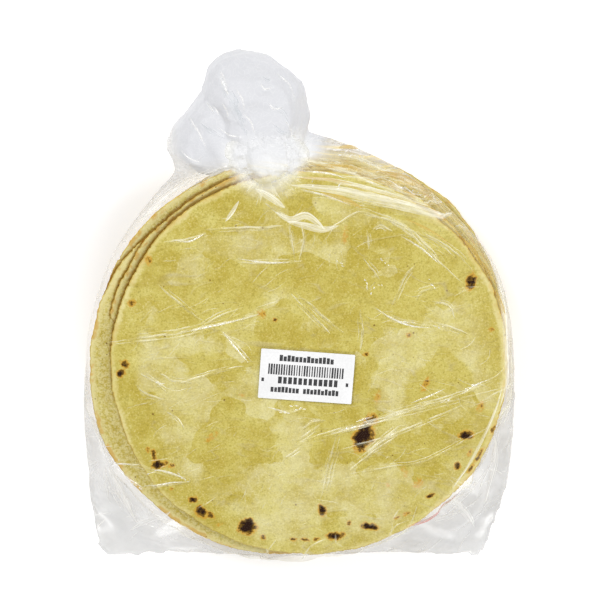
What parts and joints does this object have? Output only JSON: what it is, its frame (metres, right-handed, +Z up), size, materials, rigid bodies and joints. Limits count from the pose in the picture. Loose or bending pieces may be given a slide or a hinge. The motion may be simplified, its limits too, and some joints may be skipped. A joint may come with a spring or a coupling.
{
  "type": "bag of corn tortillas",
  "caption": "Stack of large corn tortillas in a thin clear plastic bag, knotted into a crumpled tuft, with a small plain label on the front; lies flat on its back.",
  "frame": {"origin": "centre of the flat base under the stack, on the surface that the bag lies on", "axes": "+Z up out of the front of the bag, the side with the label; +Y towards the knotted tail; +X towards the right-hand side of the label"},
  "size_m": [0.2298, 0.2781, 0.053],
  "materials": {
    "bag_film": "thin clear polythene film, glossy, crinkled, whiter where it is gathered",
    "tortilla": "soft baked corn dough, matt, pale yellow with toasted brown and black spots",
    "label_paper": "smooth white label paper with plain dark bars and dashes"
  },
  "bodies": {
    "root": {"bag": "bag_film", "label": "label_paper"}
  },
  "joints": []
}
